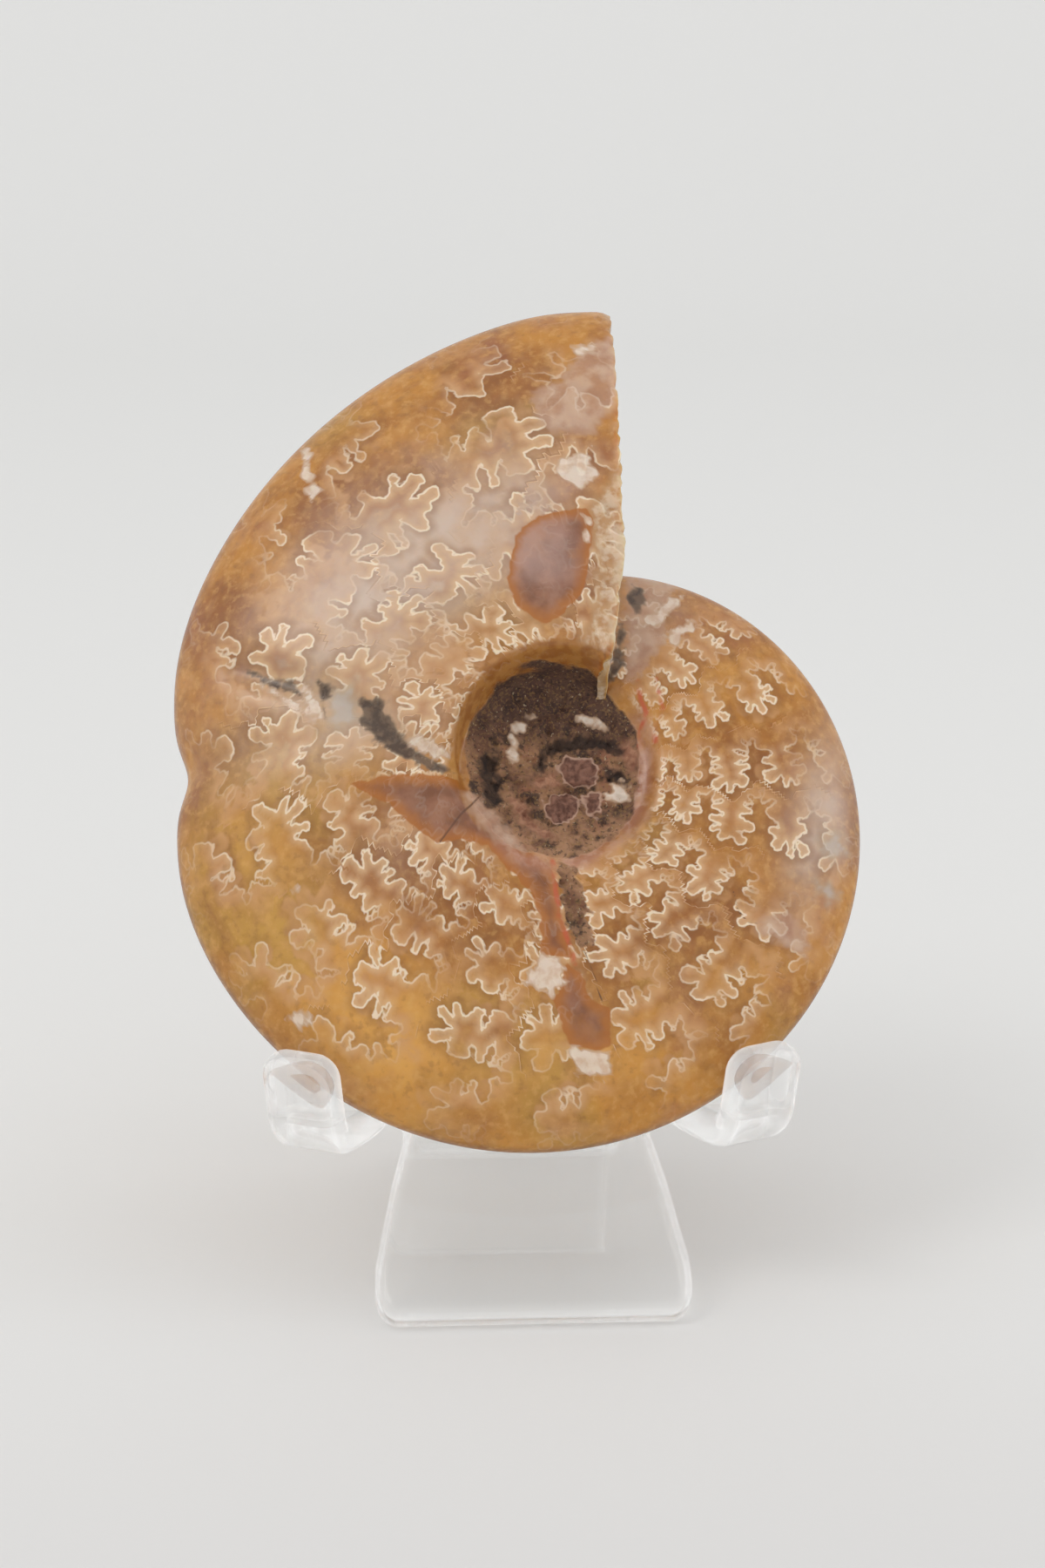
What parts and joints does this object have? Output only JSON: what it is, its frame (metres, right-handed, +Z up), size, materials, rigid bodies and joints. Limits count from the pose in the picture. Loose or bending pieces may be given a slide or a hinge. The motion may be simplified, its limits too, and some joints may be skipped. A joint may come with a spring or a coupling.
{
  "type": "fossil ammonite",
  "caption": "Polished spiral ammonite with leafy suture lines, leaning on a small bent clear acrylic stand.",
  "frame": {"origin": "middle of the whole object's box, on the floor that the stand's feet rest on", "axes": "+Z up; the ammonite's front face looks towards -Y and leans back 30 degrees; +X to the right as seen from the front"},
  "size_m": [0.0626, 0.048, 0.0844],
  "materials": {
    "polished_fossil": "polished amber and brown calcite with cream suture lines and rough brown matrix in the umbilicus",
    "clear_acrylic": "clear acrylic sheet with polished edges"
  },
  "bodies": {
    "root": {"ammonite": "polished_fossil", "display_stand": "clear_acrylic"}
  },
  "joints": []
}
